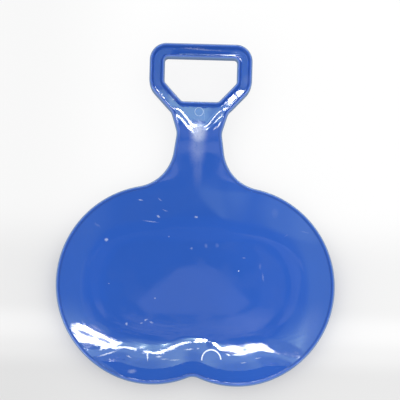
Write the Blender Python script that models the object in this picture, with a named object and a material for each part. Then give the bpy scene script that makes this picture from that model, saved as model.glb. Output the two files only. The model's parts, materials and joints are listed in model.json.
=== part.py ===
"""Snow slider moulded in one piece: a dished, heart-shaped seat pan, a neck and a D-shaped handle.

The slider lies on its sliding face with the seat side up. X runs across, +Y points to the handle,
+Z is up, and the origin is under the middle of the outline, on the ground.
"""

from math import acos, atan2, cos, pi, radians, sin, sqrt, tan

import bmesh
import bpy
import numpy as np
from mathutils import Vector

MM = 0.001

# Seat pan outline, two lobes that meet in a notch at the rear
PAN_HALF_WIDTH = 183.0 * MM
PAN_WIDEST_Y = -92.9 * MM
LOBE_FRONT_RADIUS = 130.5 * MM
LOBE_SIDE_RADIUS = 133.1 * MM
LOBE_TAIL_RADIUS = 121.7 * MM
LOBE_TAIL_ANGLE = radians(67.3)
NOTCH_RADIUS = 18.3 * MM

# Neck outline
SHOULDER_RADIUS = 56.6 * MM
NECK_FLARE = radians(8.5)
WAIST_HALF_WIDTH = 29.9 * MM
WAIST_Y = 107.3 * MM
WAIST_RADIUS = 21.5 * MM

# Handle outline and hand hole
WEB_FLARE = radians(17.2)
WEB_RADIUS = 13.7 * MM
STRUT_ANGLE = radians(42.8)
HANDLE_HALF_WIDTH = 68.8 * MM
HANDLE_TOP_Y = 225.0 * MM
HANDLE_CORNER_RADIUS = 22.1 * MM
ELBOW_Y = 167.2 * MM
ELBOW_RADIUS = 29.2 * MM
SIDE_BAR_WIDTH = 20.3 * MM
GRIP_BAR_WIDTH = 19.2 * MM
HOLE_BOTTOM_Y = 149.4 * MM
HOLE_TOP_CORNER_RADIUS = 4.5 * MM
HOLE_CORNER_RADIUS = 6.0 * MM

# Section of the sheet
SHEET = 2.5 * MM
WALL_HEIGHT = 20.0 * MM
WALL_FOOT = 75.0 * MM
WALL_FOOT_POWER = 3.0
WALL_TOP_POWER = 1.35
BRIM_WIDTH = 20.0 * MM
BRIM_FULL_ANGLE = radians(38.0)
BRIM_END_ANGLE = radians(58.0)
FLOOR_RISE_START_Y = -45.0 * MM
FLOOR_RISE_END_Y = 90.0 * MM

# Slopes of the rim line along neck, web and handle, and the bends between them
NECK_SLOPE = radians(12.0)
NECK_BEND_Y = 30.0 * MM
NECK_BEND_LENGTH = 50.0 * MM
WEB_SLOPE = radians(4.0)
WEB_BEND_Y = 112.0 * MM
WEB_BEND_LENGTH = 16.0 * MM
HANDLE_SLOPE = radians(14.0)
HANDLE_BEND_Y = 162.0 * MM
HANDLE_BEND_LENGTH = 10.0 * MM

# Rolled bead along the outline and the hand hole
BEAD_WIDTH = 4.2 * MM
BEAD_HEIGHT = 1.7 * MM
NECK_BEAD_SHARE = 0.35
NECK_BEAD_START_Y = 20.0 * MM
NECK_BEAD_END_Y = 112.0 * MM
NECK_BEAD_FADE = 30.0 * MM
EDGE_EASE = 0.8 * MM

# Tray sunk into the handle and the groove that runs out of it down the neck
TRAY_DEPTH = 4.0 * MM
TRAY_WALL = 1.4 * MM
TRAY_MOUTH_Y = 105.0 * MM
TRAY_MOUTH_SAG = 22.0 * MM
TRAY_MOUTH_FLAT = 3.0 * MM
TRAY_MOUTH_HALF_WIDTH = 35.0 * MM
TRAY_RAMP = 17.0 * MM
GROOVE_DEPTH = 1.2 * MM
GROOVE_HALF_WIDTH = 9.0 * MM
GROOVE_TIP_Y = 40.0 * MM

# Fineness of the mesh
ARC_STEP = radians(4.5)
ARC_LEAST_STEPS = 3
SIDE_STEP = 14.0 * MM
PAN_CELL = 8.0 * MM
NECK_CELL = 6.5 * MM
FINE_CELLS_Y = 92.0 * MM
BRIM_CELL = 4.0 * MM
BRIM_CELLS_Y = -150.0 * MM
SLIVER = EDGE_EASE / 2

PLASTIC_COLOUR = (0.030, 0.100, 0.480, 1.0)
PLASTIC_ROUGHNESS = 0.22


def clear_scene():
    """Remove the objects that the scene starts with."""
    for thing in list(bpy.data.objects):
        bpy.data.objects.remove(thing, do_unlink=True)


def ease(value):
    """Rise smoothly from 0 to 1, level at both ends."""
    t = np.clip(value, 0.0, 1.0)
    return t * t * t * (t * (6.0 * t - 15.0) + 10.0)


def arc(centre, radius, start, end):
    """Points along an arc, both ends included."""
    steps = max(ARC_LEAST_STEPS, round(abs(end - start) / ARC_STEP))
    angles = np.linspace(start, end, steps + 1)
    return [Vector((centre[0] + radius * cos(a), centre[1] + radius * sin(a))) for a in angles]


def straight(start, end):
    """Points between the ends of a straight side, so that no side stays one long edge."""
    steps = max(1, round((end - start).length / SIDE_STEP))
    return [start.lerp(end, i / steps) for i in range(1, steps)]


def rounded_chain(corners):
    """Points along an open chain of straight sides, each corner rounded to its own radius."""
    chain = [Vector(corners[0][0])]
    for before, here, after in zip(corners, corners[1:], corners[2:]):
        corner = Vector(here[0])
        back = (Vector(before[0]) - corner).normalized()
        ahead = (Vector(after[0]) - corner).normalized()
        half_angle = back.angle(ahead) / 2
        centre = corner + (back + ahead).normalized() * here[1] / sin(half_angle)
        first = corner + back * here[1] / tan(half_angle) - centre
        turn = (pi - 2 * half_angle) * (1 if back.cross(ahead) < 0 else -1)
        start = atan2(first.y, first.x)
        rounding = arc(centre, here[1], start, start + turn)
        chain += straight(chain[-1], rounding[0]) + rounding
    last = Vector(corners[-1][0])
    return chain + straight(chain[-1], last) + [last]


def lobe_points():
    """Right lobe from the notch on the axis to the widest point."""
    side_centre = Vector((PAN_HALF_WIDTH - LOBE_SIDE_RADIUS, PAN_WIDEST_Y))
    towards_tail = Vector((cos(LOBE_TAIL_ANGLE), -sin(LOBE_TAIL_ANGLE)))
    tail_centre = side_centre + towards_tail * (LOBE_SIDE_RADIUS - LOBE_TAIL_RADIUS)
    reach = LOBE_TAIL_RADIUS + NOTCH_RADIUS
    notch_centre = Vector((0.0, tail_centre.y - sqrt(reach ** 2 - tail_centre.x ** 2)))
    meeting = acos(tail_centre.x / reach)
    points = arc(notch_centre, NOTCH_RADIUS, pi / 2, meeting)
    points += arc(tail_centre, LOBE_TAIL_RADIUS, meeting - pi, -LOBE_TAIL_ANGLE)[1:]
    points += arc(side_centre, LOBE_SIDE_RADIUS, -LOBE_TAIL_ANGLE, 0.0)[1:]
    return points


def shoulder_points():
    """From the widest point over the shoulder to the foot of the neck's straight side."""
    front_centre = Vector((PAN_HALF_WIDTH - LOBE_FRONT_RADIUS, PAN_WIDEST_Y))
    waist = Vector((WAIST_HALF_WIDTH, WAIST_Y))
    outwards = Vector((cos(NECK_FLARE), sin(NECK_FLARE)))
    reach = LOBE_FRONT_RADIUS + SHOULDER_RADIUS
    lean = NECK_FLARE + acos((SHOULDER_RADIUS - (front_centre - waist).dot(outwards)) / reach)
    centre = front_centre + Vector((cos(lean), sin(lean))) * reach
    points = arc(front_centre, LOBE_FRONT_RADIUS, 0.0, lean)[1:]
    points += arc(centre, SHOULDER_RADIUS, lean + pi, NECK_FLARE + pi)[1:]
    return points


def web_corner():
    """Where the sides of the web would meet the handle's struts, left unrounded."""
    strut_foot = HANDLE_HALF_WIDTH - ELBOW_Y * tan(STRUT_ANGLE)
    web_foot = WAIST_HALF_WIDTH - WAIST_Y * tan(WEB_FLARE)
    y = (strut_foot - web_foot) / (tan(WEB_FLARE) - tan(STRUT_ANGLE))
    return web_foot + y * tan(WEB_FLARE), y


def outer_points():
    """Right half of the outline, from the notch to the middle of the handle's grip."""
    points = lobe_points() + shoulder_points()
    handle = rounded_chain([
        (points[-1], 0.0),
        ((WAIST_HALF_WIDTH, WAIST_Y), WAIST_RADIUS),
        (web_corner(), WEB_RADIUS),
        ((HANDLE_HALF_WIDTH, ELBOW_Y), ELBOW_RADIUS),
        ((HANDLE_HALF_WIDTH, HANDLE_TOP_Y), HANDLE_CORNER_RADIUS),
        ((0.0, HANDLE_TOP_Y), 0.0),
    ])
    return points + handle[1:]


def hole_points():
    """Right half of the hand hole, from its top down to its bottom."""
    half_width = HANDLE_HALF_WIDTH - SIDE_BAR_WIDTH
    top = HANDLE_TOP_Y - GRIP_BAR_WIDTH
    elbow = ELBOW_Y + SIDE_BAR_WIDTH * tan(STRUT_ANGLE / 2)
    bottom_half_width = half_width - (elbow - HOLE_BOTTOM_Y) * tan(STRUT_ANGLE)
    return rounded_chain([
        ((0.0, top), 0.0),
        ((half_width, top), HOLE_TOP_CORNER_RADIUS),
        ((half_width, elbow), HOLE_CORNER_RADIUS),
        ((bottom_half_width, HOLE_BOTTOM_Y), HOLE_CORNER_RADIUS),
        ((0.0, HOLE_BOTTOM_Y), 0.0),
    ])


def nearest_edge(places, chain):
    """Distance in plan from each place to a chain of points and to its mirror image."""
    starts = np.array([p[:] for p in chain[:-1]])
    runs = np.array([p[:] for p in chain[1:]]) - starts
    across = np.column_stack([np.abs(places[:, 0]), places[:, 1]])
    offsets = across[:, None, :] - starts[None, :, :]
    share = np.clip((offsets * runs).sum(axis=2) / (runs ** 2).sum(axis=1), 0.0, 1.0)
    return np.linalg.norm(offsets - share[:, :, None] * runs, axis=2).min(axis=1)


def wall_share(x, y, from_edge):
    """How far the pan's wall has climbed: 0 at its foot, 1 at its top and on the brim behind it."""
    tail_angle = np.arctan2(np.abs(x), PAN_WIDEST_Y - y)
    narrowing = ease((tail_angle - BRIM_FULL_ANGLE) / (BRIM_END_ANGLE - BRIM_FULL_ANGLE))
    brim = BRIM_WIDTH * (1.0 - narrowing)
    climbed = np.clip((WALL_FOOT - from_edge) / (WALL_FOOT - brim), 0.0, 1.0)
    return 1.0 - (1.0 - climbed ** WALL_FOOT_POWER) ** WALL_TOP_POWER


def past_bend(y, start, length):
    """Run along y past a rounded bend: 0 before it, and as long as the way itself beyond it."""
    t = np.clip((y - start) / length, 0.0, 1.0)
    return length * (t ** 3 - t ** 4 / 2.0) + np.maximum(y - start - length, 0.0)


def rim_line(y):
    """Height of the rim above the pan's floor, along pan, neck, web and handle."""
    neck = tan(NECK_SLOPE) * past_bend(y, NECK_BEND_Y, NECK_BEND_LENGTH)
    web = (tan(WEB_SLOPE) - tan(NECK_SLOPE)) * past_bend(y, WEB_BEND_Y, WEB_BEND_LENGTH)
    handle = (tan(HANDLE_SLOPE) - tan(WEB_SLOPE)) * past_bend(y, HANDLE_BEND_Y, HANDLE_BEND_LENGTH)
    return WALL_HEIGHT + neck + web + handle


def rise_of_sheet(x, y, from_edge):
    """Height of the sheet's seat face without bead and tray: floor, walls, brim, neck and handle."""
    floor = ease((y - FLOOR_RISE_START_Y) / (FLOOR_RISE_END_Y - FLOOR_RISE_START_Y))
    return SHEET + rim_line(y) * (floor + (1.0 - floor) * wall_share(x, y, from_edge))


def tray_share(x, y):
    """How far the handle's tray, or the groove below it, is sunk: 1 is the full depth."""
    sideways = (np.abs(x) - TRAY_MOUTH_FLAT) / (TRAY_MOUTH_HALF_WIDTH - TRAY_MOUTH_FLAT)
    mouth = TRAY_MOUTH_Y + TRAY_MOUTH_SAG * ease(sideways)
    tray = ease((y - mouth) / TRAY_RAMP)
    taper = np.clip((y - GROOVE_TIP_Y) / (TRAY_MOUTH_Y - GROOVE_TIP_Y), 0.0, 1.0)
    half_width = np.maximum(GROOVE_HALF_WIDTH * taper, SLIVER)
    groove = GROOVE_DEPTH / TRAY_DEPTH * taper * ease(1.0 - np.abs(x) / half_width)
    return tray + groove * (1.0 - tray)


def bead_share(y):
    """The bead is full along the pan and the handle, and low along the neck."""
    into_neck = ease((y - NECK_BEAD_START_Y) / NECK_BEAD_FADE)
    out_of_neck = ease((y - NECK_BEAD_END_Y) / NECK_BEAD_FADE)
    return 1.0 - (1.0 - NECK_BEAD_SHARE) * into_neck * (1.0 - out_of_neck)


def seat_face(x, y, from_edge):
    """Height of the upper face, with its bead and its tray."""
    inside_bead = ease((from_edge - BEAD_WIDTH) / TRAY_WALL)
    across_bead = np.clip(2.0 * from_edge / BEAD_WIDTH - 1.0, -1.0, 1.0)
    bead = BEAD_HEIGHT * bead_share(y) * np.sqrt(1.0 - across_bead ** 2)
    return rise_of_sheet(x, y, from_edge) + bead - TRAY_DEPTH * tray_share(x, y) * inside_bead


def sliding_face(x, y, from_edge):
    """Height of the under face, eased along its edge."""
    eased = EDGE_EASE * np.clip(1.0 - from_edge / EDGE_EASE, 0.0, 1.0)
    return rise_of_sheet(x, y, from_edge) - SHEET - TRAY_DEPTH * tray_share(x, y) + eased


def flat_blank(mesh):
    """The outline with its hand hole as two flat faces that meet on the axis."""
    right = outer_points() + hole_points()
    corners = [mesh.verts.new((p.x, p.y, 0.0)) for p in right]
    mesh.faces.new(corners)
    everything = mesh.verts[:] + mesh.edges[:] + mesh.faces[:]
    bmesh.ops.mirror(mesh, geom=everything, axis='X', merge_dist=0.01 * MM)
    bmesh.ops.recalc_face_normals(mesh, faces=mesh.faces)


def cut_cells(mesh, middle, axis, places, least_y):
    """Cut the middle faces that lie beyond least_y into cells along one axis."""
    direction = Vector((1.0, 0.0, 0.0)) if axis == 0 else Vector((0.0, 1.0, 0.0))
    for place in places:
        faces = [f for f in mesh.faces if f.material_index == middle]
        faces = [f for f in faces if max(v.co.y for v in f.verts) > least_y]
        edges = {e for f in faces for e in f.edges}
        corners = {v for f in faces for v in f.verts}
        bmesh.ops.bisect_plane(mesh, geom=[*corners, *edges, *faces], dist=0.01 * MM,
                               plane_co=direction * place, plane_no=direction)


def divide_blank(mesh):
    """Rings along the edges for bead and tray wall, then cells over the rest."""
    rings = [EDGE_EASE, BEAD_WIDTH / 2, BEAD_WIDTH, BEAD_WIDTH + TRAY_WALL]
    middle = mesh.faces[:]
    for inner, outer in zip(rings, [0.0] + rings):
        bmesh.ops.inset_region(mesh, faces=middle, thickness=inner - outer, use_boundary=True,
                               use_even_offset=True)
    ring, cell = 0, 1
    for face in mesh.faces:
        face.material_index = cell if face in middle else ring
    rear = PAN_WIDEST_Y - LOBE_SIDE_RADIUS
    for step, least_y in ((PAN_CELL, rear), (NECK_CELL, FINE_CELLS_Y)):
        across = np.arange(step, PAN_HALF_WIDTH, step)
        cut_cells(mesh, cell, 0, [*across, *-across], least_y)
        cut_cells(mesh, cell, 1, np.arange(max(rear, least_y), HANDLE_TOP_Y, step), least_y)
    cut_cells(mesh, cell, 1, np.arange(rear, BRIM_CELLS_Y, BRIM_CELL), rear)
    bmesh.ops.remove_doubles(mesh, verts=mesh.verts, dist=SLIVER)
    for face in mesh.faces:
        face.material_index = 0


def press_to_shape(mesh):
    """Extrude the blank into a closed sheet and press both of its faces to their heights."""
    outer, hole = outer_points(), hole_points()
    lower = mesh.verts[:]
    raised = bmesh.ops.extrude_face_region(mesh, geom=mesh.faces[:], use_keep_orig=True)
    upper = [v for v in raised['geom'] if isinstance(v, bmesh.types.BMVert)]
    for verts, height_of in ((lower, sliding_face), (upper, seat_face)):
        places = np.array([v.co[:2] for v in verts])
        from_edge = np.minimum(nearest_edge(places, outer), nearest_edge(places, hole))
        heights = height_of(places[:, 0], places[:, 1], from_edge)
        for vert, height in zip(verts, heights):
            vert.co.z = height
    bmesh.ops.triangulate(mesh, faces=mesh.faces, quad_method='SHORT_EDGE')
    bmesh.ops.recalc_face_normals(mesh, faces=mesh.faces)


def blue_plastic():
    """Glossy blue polyethylene."""
    material = bpy.data.materials.new("blue_polyethylene")
    material.use_nodes = True
    shader = material.node_tree.nodes["Principled BSDF"]
    shader.inputs["Base Color"].default_value = PLASTIC_COLOUR
    shader.inputs["Roughness"].default_value = PLASTIC_ROUGHNESS
    shader.inputs["Metallic"].default_value = 0.0
    return material


def sled_moulding():
    """The whole slider, one moulding."""
    mesh = bmesh.new()
    flat_blank(mesh)
    divide_blank(mesh)
    press_to_shape(mesh)
    data = bpy.data.meshes.new("sled_moulding")
    mesh.to_mesh(data)
    mesh.free()
    data.materials.append(blue_plastic())
    data.shade_smooth()
    data.set_sharp_from_angle(angle=radians(40.0))
    moulding = bpy.data.objects.new("sled_moulding", data)
    bpy.context.scene.collection.objects.link(moulding)
    return moulding


clear_scene()
sled_moulding()
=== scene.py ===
"""One-piece plastic snow slider on a pale studio floor, modelled around the packed frame.

The file is laid out as an add-on and run as a script. X runs across the seat pan, +Y points to the
handle, +Z is up, and lengths are in metres.
"""

import json
from math import acos, atan2, cos, pi, radians, sin, sqrt, tan

import bmesh
import bpy
import numpy as np
from bpy.props import FloatProperty, FloatVectorProperty, PointerProperty
from mathutils import Matrix, Quaternion, Vector


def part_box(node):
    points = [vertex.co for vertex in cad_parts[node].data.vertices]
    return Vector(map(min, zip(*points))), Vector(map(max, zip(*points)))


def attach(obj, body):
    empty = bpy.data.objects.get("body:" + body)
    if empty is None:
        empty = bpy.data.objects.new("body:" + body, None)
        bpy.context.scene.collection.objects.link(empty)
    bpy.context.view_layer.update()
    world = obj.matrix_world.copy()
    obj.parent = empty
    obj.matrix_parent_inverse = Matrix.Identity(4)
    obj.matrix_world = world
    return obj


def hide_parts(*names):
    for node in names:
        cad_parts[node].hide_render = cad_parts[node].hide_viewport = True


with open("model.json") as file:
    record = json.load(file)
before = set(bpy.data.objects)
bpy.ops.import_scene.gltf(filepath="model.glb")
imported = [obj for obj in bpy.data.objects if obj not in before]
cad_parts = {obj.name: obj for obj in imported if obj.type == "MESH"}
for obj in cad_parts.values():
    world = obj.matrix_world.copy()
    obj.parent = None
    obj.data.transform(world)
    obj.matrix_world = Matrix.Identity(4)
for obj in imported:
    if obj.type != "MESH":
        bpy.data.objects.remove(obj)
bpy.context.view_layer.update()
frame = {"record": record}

bl_info = {
    "name": "Snow Slider",
    "version": (1, 0, 0),
    "blender": (4, 5, 0),
    "location": "3D View > Sidebar > Slider",
    "description": "Builds a one-piece plastic snow slider and the studio it lies in",
    "category": "Object",
}

MM = 0.001
CAD_NODE = frame["record"]["subparts"][0]["node"]
CAD_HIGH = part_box(CAD_NODE)[1]

UP = Vector((0.0, 0.0, 1.0))

# Fineness of the moulding's mesh: steps along the outline, and cells of the pan and of the handle,
# which begin at FINE_CELLS_Y
OUTLINE_STEP = 1.9 * MM
PAN_CELL = 2.7 * MM
HANDLE_CELL = 1.9 * MM
FINE_CELLS_Y = 88.0 * MM
# Rings along the edges, as shares of the bead's and of the tray wall's width
BEAD_RINGS = (0.10, 0.19, 0.30, 0.40, 0.50, 0.60, 0.70, 0.81, 0.90, 1.0)
TRAY_WALL_RINGS = (0.25, 0.5, 0.75, 1.0)
# Corners nearer to each other than this are merged
CLOSE_CORNERS = 0.4 * MM
# A corner nearer to a cut, or to its mirror image, than this lies on it
SAME_PLACE = 0.01 * MM
# Places whose distance to the outline is worked out in one go
DISTANCE_BATCH = 1500
# The crease is looked for in these steps, where the brim is at least this wide
CREASE_STEP = 0.5 * MM
LEAST_CREASE_BRIM = 5.8 * MM
SHARP_ANGLE = radians(60.0)
# Attribute with each corner's distance from the edge, which the plastic's wear, the painted
# highlight along the bead's crest and the painted shade along the bead's foot read
EDGE_DISTANCE = "from_edge"


def length(name, description, millimetres):
    """A length that the sidebar shows in scene units."""
    return FloatProperty(name=name, description=description, default=millimetres * MM,
                         unit='LENGTH', precision=4)


def angle(name, description, degrees):
    """An angle that the sidebar shows in degrees."""
    return FloatProperty(name=name, description=description, default=radians(degrees),
                         subtype='ANGLE')


def share(name, description, value):
    """A plain number."""
    return FloatProperty(name=name, description=description, default=value)


def colour(name, description, value):
    """A linear colour without alpha."""
    return FloatVectorProperty(name=name, description=description, default=value, subtype='COLOR',
                               size=3, min=0.0, max=1.0)


class SliderOutline(bpy.types.PropertyGroup):
    """Sizes of the outline in plan."""
    pan_half_width: length("Pan half width", "From the axis to the widest point", CAD_HIGH[0] / MM)
    pan_widest_y: length("Pan widest Y", "Where the pan is widest", -92.9)
    lobe_front_radius: length("Lobe front radius", "Outline ahead of the widest point", 130.5)
    lobe_side_radius: length("Lobe side radius", "Outline behind the widest point", 133.1)
    lobe_tail_radius: length("Lobe tail radius", "Outline along the rear", 121.7)
    lobe_tail_angle: angle("Lobe tail angle", "Where the tail radius takes over", 67.3)
    notch_radius: length("Notch radius", "Rounding of the rear notch", 18.3)
    shoulder_radius: length("Shoulder radius", "Hollow from the pan into the neck", 56.6)
    neck_flare: angle("Neck flare", "Lean of the neck's straight sides", 8.5)
    waist_half_width: length("Waist half width", "Half of the narrowest width", 29.9)
    waist_y: length("Waist Y", "Where the neck is narrowest", 107.3)
    waist_radius: length("Waist radius", "Rounding at the waist", 21.5)
    web_flare: angle("Web flare", "Lean of the web's sides", 17.2)
    web_radius: length("Web radius", "Rounding from the web into a strut", 13.7)
    strut_angle: angle("Strut angle", "Lean of the struts from the axis", 42.8)
    handle_half_width: length("Handle half width", "From the axis to the side bar's outside", 68.8)
    handle_top_y: length("Handle top Y", "Front edge of the grip bar", CAD_HIGH[1] / MM)
    handle_corner_radius: length("Handle corner radius", "Rounding of the upper corners", 22.1)
    elbow_y: length("Elbow Y", "Where strut and side bar meet outside", 167.2)
    elbow_radius: length("Elbow radius", "Rounding between strut and side bar", 29.2)
    side_bar_width: length("Side bar width", "Width of side bars and struts", 20.3)
    grip_bar_width: length("Grip bar width", "Width of the grip bar", 19.2)
    hole_bottom_y: length("Hole bottom Y", "Lower edge of the hand hole", 149.4)
    hole_top_corner_radius: length("Hole top corner radius", "Rounding of its upper corners", 4.5)
    hole_corner_radius: length("Hole corner radius", "Rounding of its other corners", 6.0)


class SliderSection(bpy.types.PropertyGroup):
    """Sizes of the sheet's section: walls, bead, tray and groove."""
    sheet: length("Sheet", "Thickness of the sheet", 2.5)
    wall_height: length("Wall height", "Rise of the pan's wall above its floor", 20.0)
    wall_foot: length("Wall foot", "Distance from the edge at which the wall starts", 75.0)
    wall_foot_power: share("Wall foot power", "How gently the wall leaves the floor", 3.0)
    wall_top_power: share("Wall top power", "How much the wall eases off towards the brim", 1.35)
    wall_end: share("Wall end", "Share of the wall's curve at which it meets the brim", 0.9)
    middle_foot: length("Middle foot", "Where the wall starts on the axis", 53.0)
    middle_foot_power: share("Middle foot power", "How gently it starts there", 1.5)
    middle_top_power: share("Middle top power", "How tightly it ends there", 1.1)
    middle_half_width: length("Middle half width", "Half of the middle's full width", 24.0)
    middle_end: length("Middle end", "Where the lobes' own wall takes over", 54.0)
    brim_width: length("Brim width", "Level brim along the rear", 20.0)
    brim_full_angle: angle("Brim full angle", "Up to here the brim is full", 38.0)
    brim_end_angle: angle("Brim end angle", "Here the brim has run out", 58.0)
    floor_rise_start_y: length("Floor rise start Y", "Where the floor starts to rise", -45.0)
    floor_rise_end_y: length("Floor rise end Y", "Where the floor is level with the rim", 90.0)
    neck_slope: angle("Neck slope", "Slope of the rim along the neck", 12.0)
    neck_bend_y: length("Neck bend Y", "Where the neck's slope starts", 30.0)
    neck_bend_length: length("Neck bend length", "Over how much the slope grows", 50.0)
    web_slope: angle("Web slope", "Slope of the web", 4.0)
    web_bend_y: length("Web bend Y", "Where the neck turns into the web", 112.0)
    web_bend_length: length("Web bend length", "Over how much it turns", 16.0)
    handle_slope: angle("Handle slope", "Slope of the handle", 14.0)
    handle_bend_y: length("Handle bend Y", "Where the web turns into the handle", 162.0)
    handle_bend_length: length("Handle bend length", "Over how much it turns", 10.0)
    bead_width: length("Bead width", "Width of the rolled bead", 4.2)
    bead_height: length("Bead height", "Height of the rolled bead", 1.7)
    neck_bead_share: share("Neck bead share", "Height of the bead along the neck", 0.35)
    neck_bead_start_y: length("Neck bead start Y", "Where the bead starts to get low", 20.0)
    neck_bead_end_y: length("Neck bead end Y", "Where the bead starts to recover", 112.0)
    neck_bead_fade: length("Neck bead fade", "Over how much it changes", 30.0)
    edge_ease: length("Edge ease", "Rounding of the lower edge", 0.8)
    tray_depth: length("Tray depth", "Depth of the handle's tray", 4.0)
    tray_wall: length("Tray wall", "Width of the tray's side walls", 1.4)
    tray_mouth_y: length("Tray mouth Y", "Where the tray starts on the axis", 105.0)
    tray_mouth_sag: length("Tray mouth sag", "How much later it starts at the sides", 22.0)
    tray_mouth_flat: length("Tray mouth flat", "Half of the mouth's straight middle", 3.0)
    tray_mouth_half_width: length("Tray mouth half width", "Where it is straight again", 35.0)
    tray_ramp: length("Tray ramp", "Length of the ramp into the tray", 17.0)
    groove_depth: length("Groove depth", "Depth of the groove down the neck", 1.2)
    groove_half_width: length("Groove half width", "Half of the groove's width at the tray", 9.0)
    groove_tip_y: length("Groove tip Y", "Where the groove runs out", 40.0)


class SliderPlastic(bpy.types.PropertyGroup):
    """Colour, gloss and wear of the blue polyethylene, and the light painted on it."""
    blue: colour("Blue", "Colour of the plastic", (0.026, 0.102, 0.462))
    # Pale blue of the rim: partly real wear, partly a painted highlight along the bead's crest
    worn_and_highlit_blue: colour("Worn and highlit blue", "Paler blue of the worn rim", (0.150, 0.240, 0.440))
    # Near-white of the rub marks, which the painted highlights use too
    rubbed_and_highlight_white: colour("Rubbed and highlight white", "Rubbed and scratched plastic", (0.720, 0.780, 0.920))
    roughness: share("Roughness", "Gloss of the clean plastic", 0.045)
    worn_roughness: share("Worn roughness", "Gloss of the rubbed plastic", 0.45)
    ior: share("IOR", "Refraction index of polyethylene", 1.5)
    rim_wear: length("Rim wear", "How far the wear reaches in from the edge", 2.7)
    waves: length("Waves", "Height of the waves along the rear wall", 0.22)
    ripples: length("Ripples", "Height of the uneven surface around the handle", 0.035)
    pan_ripples: length("Pan ripples", "Height of the uneven surface of the pan", 0.008)
    # Painted light: how much paler the right half is painted, standing in for stronger light from
    # that side
    painted_side_light: share("Painted side light", "How much paler the right half is than the middle", 0.10)
    blotches: share("Blotches", "How much the blue varies from place to place", 0.07)


class SliderStudio(bpy.types.PropertyGroup):
    """Camera of the studio."""
    camera_distance: length("Camera distance", "From the lens to the point it looks at", 1336.1)
    camera_tilt: angle("Camera tilt", "Lean of the view from straight above", 10.0)
    camera_roll: angle("Camera roll", "Turn of the camera about its own axis", 1.512)
    aim_y: length("Aim Y", "Point on the axis that the camera looks at", 2.456)
    focal_length: share("Focal length", "In millimetres on a 36 mm sensor", 89.0)
    shift_x: share("Shift X", "Sideways shift of the lens", 0.0072)
    shift_y: share("Shift Y", "Upward shift of the lens", 0.0369)


def ease(value):
    """Rise smoothly from 0 to 1, level at both ends."""
    t = np.clip(value, 0.0, 1.0)
    return t * t * t * (t * (6.0 * t - 15.0) + 10.0)


def arc(centre, radius, start, end):
    """Points along an arc, both ends included."""
    steps = max(3, round(radius * abs(end - start) / OUTLINE_STEP))
    angles = np.linspace(start, end, steps + 1)
    return [Vector((centre[0] + radius * cos(a), centre[1] + radius * sin(a))) for a in angles]


def straight(start, end):
    """Points between the ends of a straight side."""
    steps = max(1, round((end - start).length / OUTLINE_STEP))
    return [start.lerp(end, i / steps) for i in range(1, steps)]


def rounded_chain(corners):
    """Points along an open chain of straight sides, each corner rounded to its own radius."""
    chain = [Vector(corners[0][0])]
    for before, here, after in zip(corners, corners[1:], corners[2:]):
        corner = Vector(here[0])
        back = (Vector(before[0]) - corner).normalized()
        ahead = (Vector(after[0]) - corner).normalized()
        half_angle = back.angle(ahead) / 2
        centre = corner + (back + ahead).normalized() * here[1] / sin(half_angle)
        first = corner + back * here[1] / tan(half_angle) - centre
        turn = (pi - 2 * half_angle) * (1 if back.cross(ahead) < 0 else -1)
        start = atan2(first.y, first.x)
        rounding = arc(centre, here[1], start, start + turn)
        chain += straight(chain[-1], rounding[0]) + rounding
    last = Vector(corners[-1][0])
    return chain + straight(chain[-1], last) + [last]


def lobe_points(o):
    """Right lobe from the notch on the axis to the widest point."""
    side_centre = Vector((o.pan_half_width - o.lobe_side_radius, o.pan_widest_y))
    towards_tail = Vector((cos(o.lobe_tail_angle), -sin(o.lobe_tail_angle)))
    tail_centre = side_centre + towards_tail * (o.lobe_side_radius - o.lobe_tail_radius)
    reach = o.lobe_tail_radius + o.notch_radius
    notch_centre = Vector((0.0, tail_centre.y - sqrt(reach ** 2 - tail_centre.x ** 2)))
    meeting = acos(tail_centre.x / reach)
    points = arc(notch_centre, o.notch_radius, pi / 2, meeting)
    points += arc(tail_centre, o.lobe_tail_radius, meeting - pi, -o.lobe_tail_angle)[1:]
    points += arc(side_centre, o.lobe_side_radius, -o.lobe_tail_angle, 0.0)[1:]
    return points


def shoulder_points(o):
    """From the widest point over the shoulder to the foot of the neck's straight side."""
    front_centre = Vector((o.pan_half_width - o.lobe_front_radius, o.pan_widest_y))
    waist = Vector((o.waist_half_width, o.waist_y))
    outwards = Vector((cos(o.neck_flare), sin(o.neck_flare)))
    reach = o.lobe_front_radius + o.shoulder_radius
    lean = o.neck_flare + acos((o.shoulder_radius - (front_centre - waist).dot(outwards)) / reach)
    centre = front_centre + Vector((cos(lean), sin(lean))) * reach
    points = arc(front_centre, o.lobe_front_radius, 0.0, lean)[1:]
    points += arc(centre, o.shoulder_radius, lean + pi, o.neck_flare + pi)[1:]
    return points


def web_corner(o):
    """Where the sides of the web would meet the handle's struts, left unrounded."""
    strut_foot = o.handle_half_width - o.elbow_y * tan(o.strut_angle)
    web_foot = o.waist_half_width - o.waist_y * tan(o.web_flare)
    y = (strut_foot - web_foot) / (tan(o.web_flare) - tan(o.strut_angle))
    return web_foot + y * tan(o.web_flare), y


def outer_points(o):
    """Right half of the outline, from the notch to the middle of the handle's grip."""
    points = lobe_points(o) + shoulder_points(o)
    handle = rounded_chain([
        (points[-1], 0.0),
        ((o.waist_half_width, o.waist_y), o.waist_radius),
        (web_corner(o), o.web_radius),
        ((o.handle_half_width, o.elbow_y), o.elbow_radius),
        ((o.handle_half_width, o.handle_top_y), o.handle_corner_radius),
        ((0.0, o.handle_top_y), 0.0),
    ])
    return points + handle[1:]


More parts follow.
